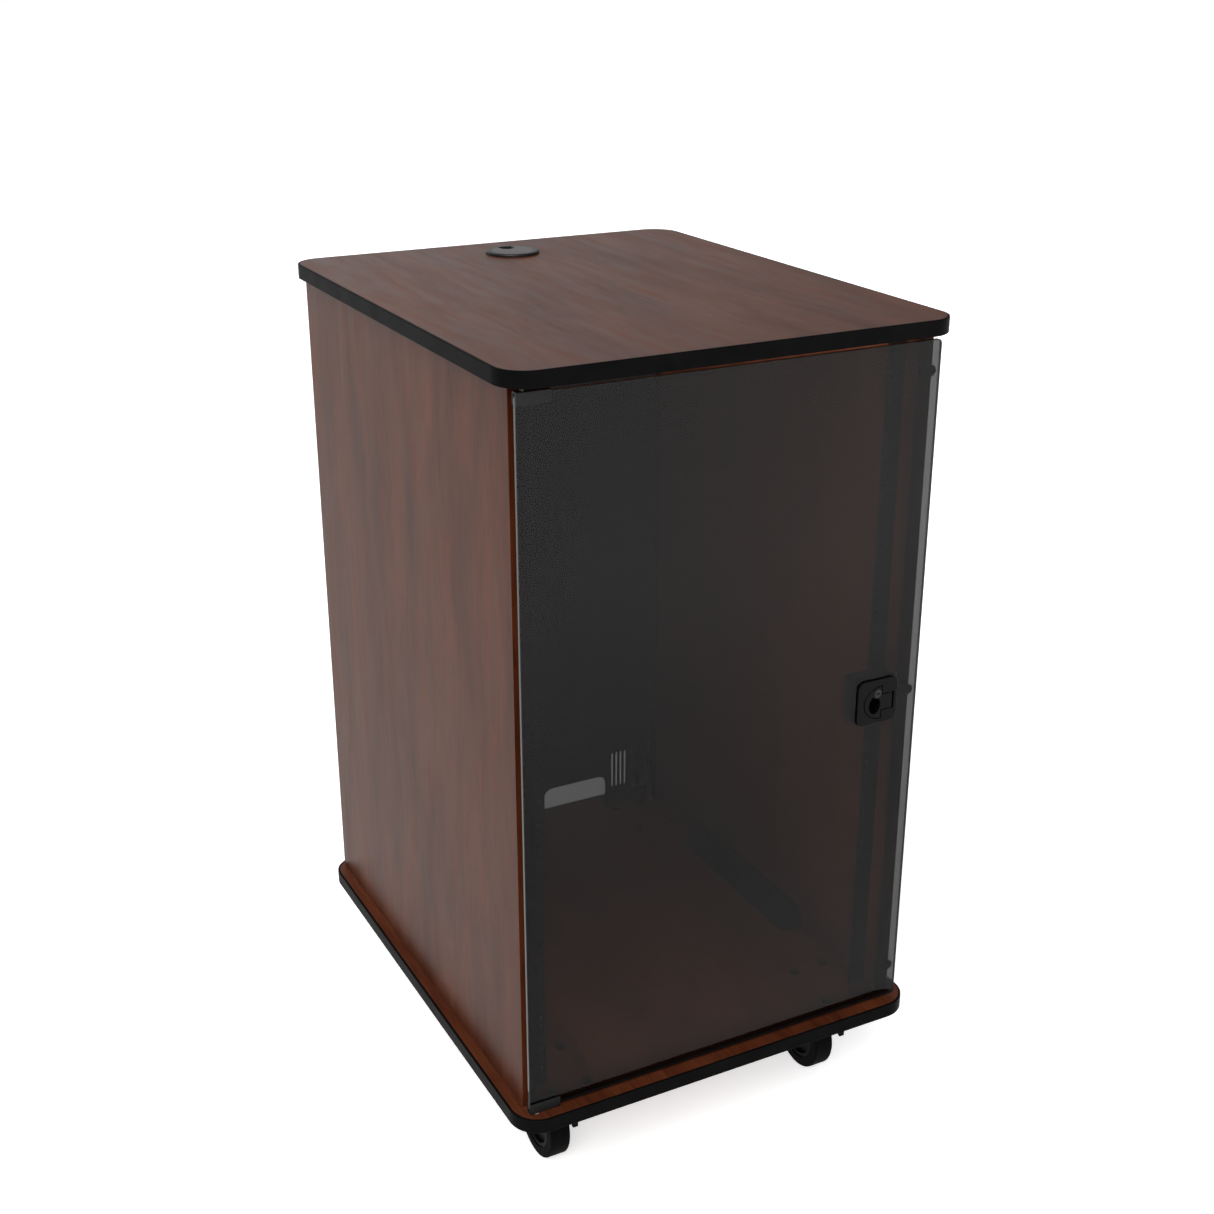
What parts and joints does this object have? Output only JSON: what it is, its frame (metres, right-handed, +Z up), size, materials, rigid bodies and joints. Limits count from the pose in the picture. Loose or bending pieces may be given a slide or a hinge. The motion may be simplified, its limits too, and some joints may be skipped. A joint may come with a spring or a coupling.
{
  "type": "mobile equipment lectern",
  "caption": "Mobile lectern cabinet: wood-grain sides between black-edged boards, smoked glass front door with flush latch, 19-inch rack bay, steel rear door, swivel casters.",
  "frame": {"origin": "on the floor, under the middle of the base board", "axes": "+X to the right seen from the front door, +Y to the back, +Z up"},
  "size_m": [0.5746, 0.697, 1.075],
  "materials": {
    "laminate": "dark mahogany wood-grain laminate, satin",
    "edge_band": "dark red-brown veneer band, satin",
    "black_moulding": "black vinyl edge moulding, fine grain",
    "black_steel": "black powder coat",
    "black_screws": "black zinc",
    "grommet_black": "black moulded plastic",
    "grommet_grey": "grey-black moulded plastic",
    "nylon": "natural nylon",
    "black_rubber": "black rubber",
    "zinc": "bright zinc plate",
    "smoked_glass": "smoked tempered glass, polished edges",
    "latch_black": "black satin latch casting",
    "key_metal": "dark nickel key plug",
    "caster_black": "black caster steel",
    "hub_black": "dark grey moulded hub",
    "tyre": "black rubber tread"
  },
  "bodies": {
    "root": {"top_panel": "laminate", "top_edge_moulding": "black_moulding", "base_panel": "laminate", "base_edge_moulding": "black_moulding", "side_panel_left": "laminate", "side_panel_right": "laminate", "side_edge_bands": "edge_band", "base_angles": "black_steel", "top_angles": "black_steel", "wood_screws": "black_screws", "rack_rail_left": "black_steel", "rack_rail_right": "black_steel", "grommet_sleeve": "grommet_black", "pivot_bushings": "nylon", "door_bumpers": "black_rubber", "latch_strike": "zinc", "rear_lock_catch": "black_steel", "rear_door_stops": "black_steel", "caster_bolts": "black_screws", "caster_nuts": "zinc", "caster_plate_front_left": "caster_black", "caster_plate_front_right": "caster_black", "caster_plate_rear_left": "caster_black", "caster_plate_rear_right": "caster_black"},
    "door": {"glass_door": "smoked_glass", "hinge_clip_bottom": "black_steel", "hinge_clip_top": "black_steel", "hinge_gaskets": "black_rubber", "hinge_clamp_screws": "black_screws", "hinge_pins": "black_screws", "latch_housing": "latch_black", "latch_handle_pin": "zinc", "latch_cover": "latch_black", "latch_cover_screws": "black_screws"},
    "latch_handle": {"latch_handle": "latch_black"},
    "latch_key": {"latch_key_cylinder": "key_metal"},
    "latch_bolt": {"latch_bolt": "zinc"},
    "rear_door": {"rear_door": "black_steel", "rear_hinges": "zinc"},
    "rear_lock": {"rear_lock_plug": "key_metal", "rear_lock_cam": "zinc"},
    "grommet_cap": {"grommet_cap": "grommet_grey"},
    "caster_front_left": {"caster_fork_front_left": "caster_black", "caster_axle_front_left": "zinc"},
    "wheel_front_left": {"caster_hub_front_left": "hub_black", "caster_tyre_front_left": "tyre"},
    "brake_front_left": {"caster_brake_front_left": "caster_black"},
    "caster_front_right": {"caster_fork_front_right": "caster_black", "caster_axle_front_right": "zinc"},
    "wheel_front_right": {"caster_hub_front_right": "hub_black", "caster_tyre_front_right": "tyre"},
    "brake_front_right": {"caster_brake_front_right": "caster_black"},
    "caster_rear_left": {"caster_fork_rear_left": "caster_black", "caster_axle_rear_left": "zinc"},
    "wheel_rear_left": {"caster_hub_rear_left": "hub_black", "caster_tyre_rear_left": "tyre"},
    "caster_rear_right": {"caster_fork_rear_right": "caster_black", "caster_axle_rear_right": "zinc"},
    "wheel_rear_right": {"caster_hub_rear_right": "hub_black", "caster_tyre_rear_right": "tyre"}
  },
  "joints": [
    {"name": "door_swing", "type": "hinge", "parent": "root", "child": "door", "pos_m": [-0.2609, -0.3279, 0.6], "axis": [0, 0, -1], "range_deg": [0, 170]},
    {"name": "latch_pull", "type": "hinge", "parent": "door", "child": "latch_handle", "pos_m": [0.2289, -0.3302, 0.5983], "axis": [0, 0, 1], "range_deg": [0, 35], "stiffness_Nm_per_rad": 0.05},
    {"name": "key_turn", "type": "hinge", "parent": "latch_handle", "child": "latch_key", "pos_m": [0.2087, -0.3292, 0.6106], "axis": [0, 1, 0], "range_deg": [0, 90]},
    {"name": "bolt_slide", "type": "slide", "parent": "door", "child": "latch_bolt", "axis": [1, 0, 0], "range_m": [0, 0.0118]},
    {"name": "rear_door_swing", "type": "hinge", "parent": "root", "child": "rear_door", "pos_m": [0.24195, 0.2968, 0.6], "axis": [0, 0, -1], "range_deg": [0, 90]},
    {"name": "rear_lock_turn", "type": "hinge", "parent": "rear_door", "child": "rear_lock", "pos_m": [-0.22325, 0.3, 0.602], "axis": [0, 1, 0], "range_deg": [0, 90]},
    {"name": "grommet_turn", "type": "hinge", "parent": "root", "child": "grommet_cap", "pos_m": [0, 0.2625, 1.073], "axis": [0, 0, 1], "continuous": true},
    {"name": "swivel_front_left", "type": "hinge", "parent": "root", "child": "caster_front_left", "pos_m": [-0.202, -0.2655, 0.12], "axis": [0, 0, 1], "continuous": true},
    {"name": "spin_front_left", "type": "hinge", "parent": "caster_front_left", "child": "wheel_front_left", "pos_m": [-0.202, -0.2255, 0.05], "axis": [1, 0, 0], "continuous": true},
    {"name": "brake_front_left", "type": "hinge", "parent": "caster_front_left", "child": "brake_front_left", "pos_m": [-0.202, -0.2815, 0.102], "axis": [1, 0, 0], "range_deg": [0, 20]},
    {"name": "swivel_front_right", "type": "hinge", "parent": "root", "child": "caster_front_right", "pos_m": [0.202, -0.2655, 0.12], "axis": [0, 0, 1], "continuous": true},
    {"name": "spin_front_right", "type": "hinge", "parent": "caster_front_right", "child": "wheel_front_right", "pos_m": [0.202, -0.2255, 0.05], "axis": [1, 0, 0], "continuous": true},
    {"name": "brake_front_right", "type": "hinge", "parent": "caster_front_right", "child": "brake_front_right", "pos_m": [0.202, -0.2815, 0.102], "axis": [1, 0, 0], "range_deg": [0, 20]},
    {"name": "swivel_rear_left", "type": "hinge", "parent": "root", "child": "caster_rear_left", "pos_m": [-0.202, 0.256, 0.12], "axis": [0, 0, 1], "continuous": true},
    {"name": "spin_rear_left", "type": "hinge", "parent": "caster_rear_left", "child": "wheel_rear_left", "pos_m": [-0.202, 0.296, 0.05], "axis": [1, 0, 0], "continuous": true},
    {"name": "swivel_rear_right", "type": "hinge", "parent": "root", "child": "caster_rear_right", "pos_m": [0.202, 0.256, 0.12], "axis": [0, 0, 1], "continuous": true},
    {"name": "spin_rear_right", "type": "hinge", "parent": "caster_rear_right", "child": "wheel_rear_right", "pos_m": [0.202, 0.296, 0.05], "axis": [1, 0, 0], "continuous": true}
  ],
  "couplings": [
    {"joint": "key_turn", "follows": "bolt_slide", "rad_per_m": 133.12}
  ]
}
